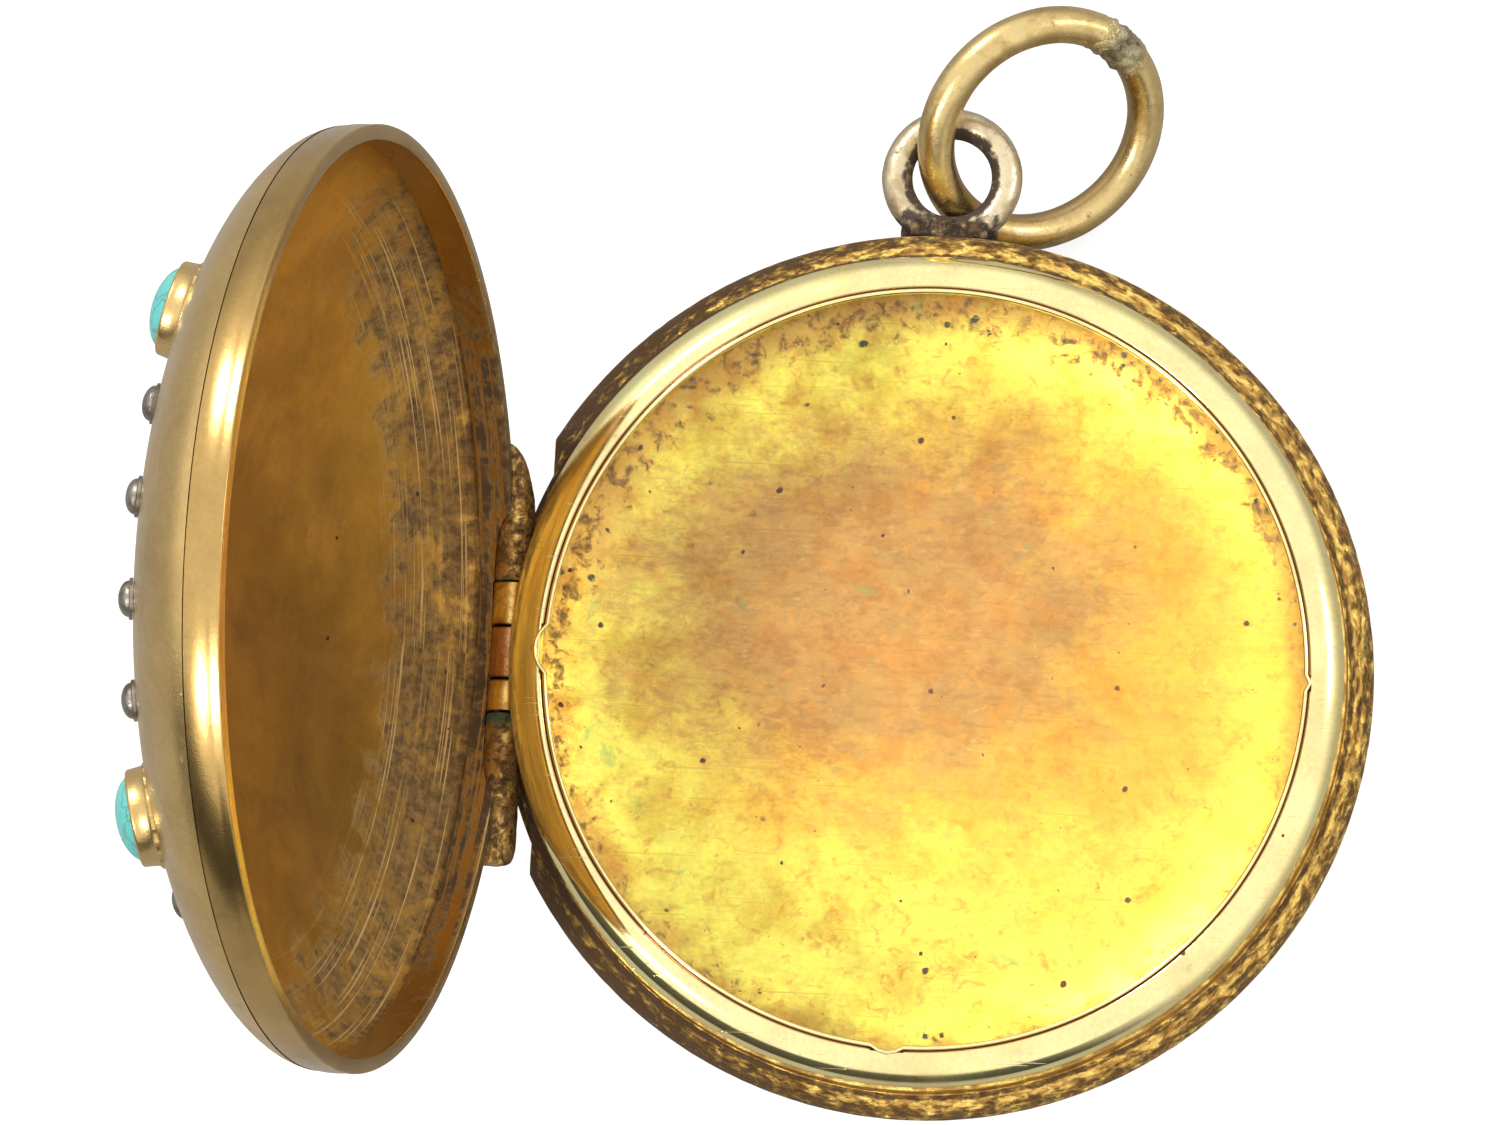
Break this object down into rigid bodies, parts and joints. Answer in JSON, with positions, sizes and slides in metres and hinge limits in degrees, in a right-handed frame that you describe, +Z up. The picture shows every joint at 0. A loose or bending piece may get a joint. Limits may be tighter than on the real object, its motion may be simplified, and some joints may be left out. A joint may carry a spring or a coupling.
{
  "type": "locket",
  "caption": "Round hinged picture locket lying open on its back, with a glazed inner frame, a domed front set with turquoise, a bail and a jump ring.",
  "frame": {"origin": "centre of the back's flat face, which the locket rests on", "axes": "+Z up out of the back, towards the viewer who looks into the open locket; +Y from the centre towards the bail; -X towards the hinge"},
  "size_m": [0.0283, 0.0278, 0.0242],
  "materials": {
    "worn_gold": "granular worn gold with dark dirt",
    "inner_gold": "satin gold with brown and green staining",
    "bright_gold": "mirror-polished pale gold",
    "outer_gold": "soft polish",
    "pale_gold": "worn pale gold with dark hollows",
    "ring_gold": "drawn wire, softly polished",
    "dark_bead": "darkened beads",
    "turquoise": "waxy polish with fine veins",
    "glass": "old thin glass with specks and hairline scratches"
  },
  "bodies": {
    "case_back": {"back_shell": "inner_gold", "back_rim": "worn_gold", "knuckle_back_upper": "worn_gold", "knuckle_back_lower": "worn_gold", "hinge_pin": "worn_gold", "bail_foot": "pale_gold", "bail_loop": "pale_gold"},
    "frame": {"picture_frame": "bright_gold", "glass": "glass"},
    "front": {"front_dome": "outer_gold", "front_rim": "worn_gold", "bearing_upper": "worn_gold", "bearing_lower": "worn_gold", "knuckle_front": "worn_gold", "collet_centre": "outer_gold", "turquoise_centre": "turquoise", "collet_1": "outer_gold", "turquoise_1": "turquoise", "collet_2": "outer_gold", "turquoise_2": "turquoise", "collet_3": "outer_gold", "turquoise_3": "turquoise", "collet_4": "outer_gold", "turquoise_4": "turquoise", "bead_1": "dark_bead", "bead_2": "dark_bead", "bead_3": "dark_bead", "bead_4": "dark_bead", "bead_5": "dark_bead", "bead_6": "dark_bead", "bead_7": "dark_bead", "bead_8": "dark_bead", "bead_9": "dark_bead", "bead_10": "dark_bead", "bead_11": "dark_bead", "bead_12": "dark_bead", "bead_13": "dark_bead", "bead_14": "dark_bead", "bead_15": "dark_bead", "bead_16": "dark_bead"},
    "ring": {"jump_ring": "ring_gold"}
  },
  "joints": [
    {"name": "front_hinge", "type": "hinge", "parent": "case_back", "child": "front", "pos_m": [-0.0104, 0, 0.00315], "axis": [0, -1, 0], "range_deg": [-99, 11]},
    {"name": "frame_lift", "type": "slide", "parent": "case_back", "child": "frame", "axis": [0, 0, 1], "range_m": [0, 0.00025]},
    {"name": "ring_swing", "type": "hinge", "parent": "case_back", "child": "ring", "pos_m": [0, 0.0122, 0.0027], "axis": [1, 0, 0], "range_deg": [0, 70]}
  ]
}
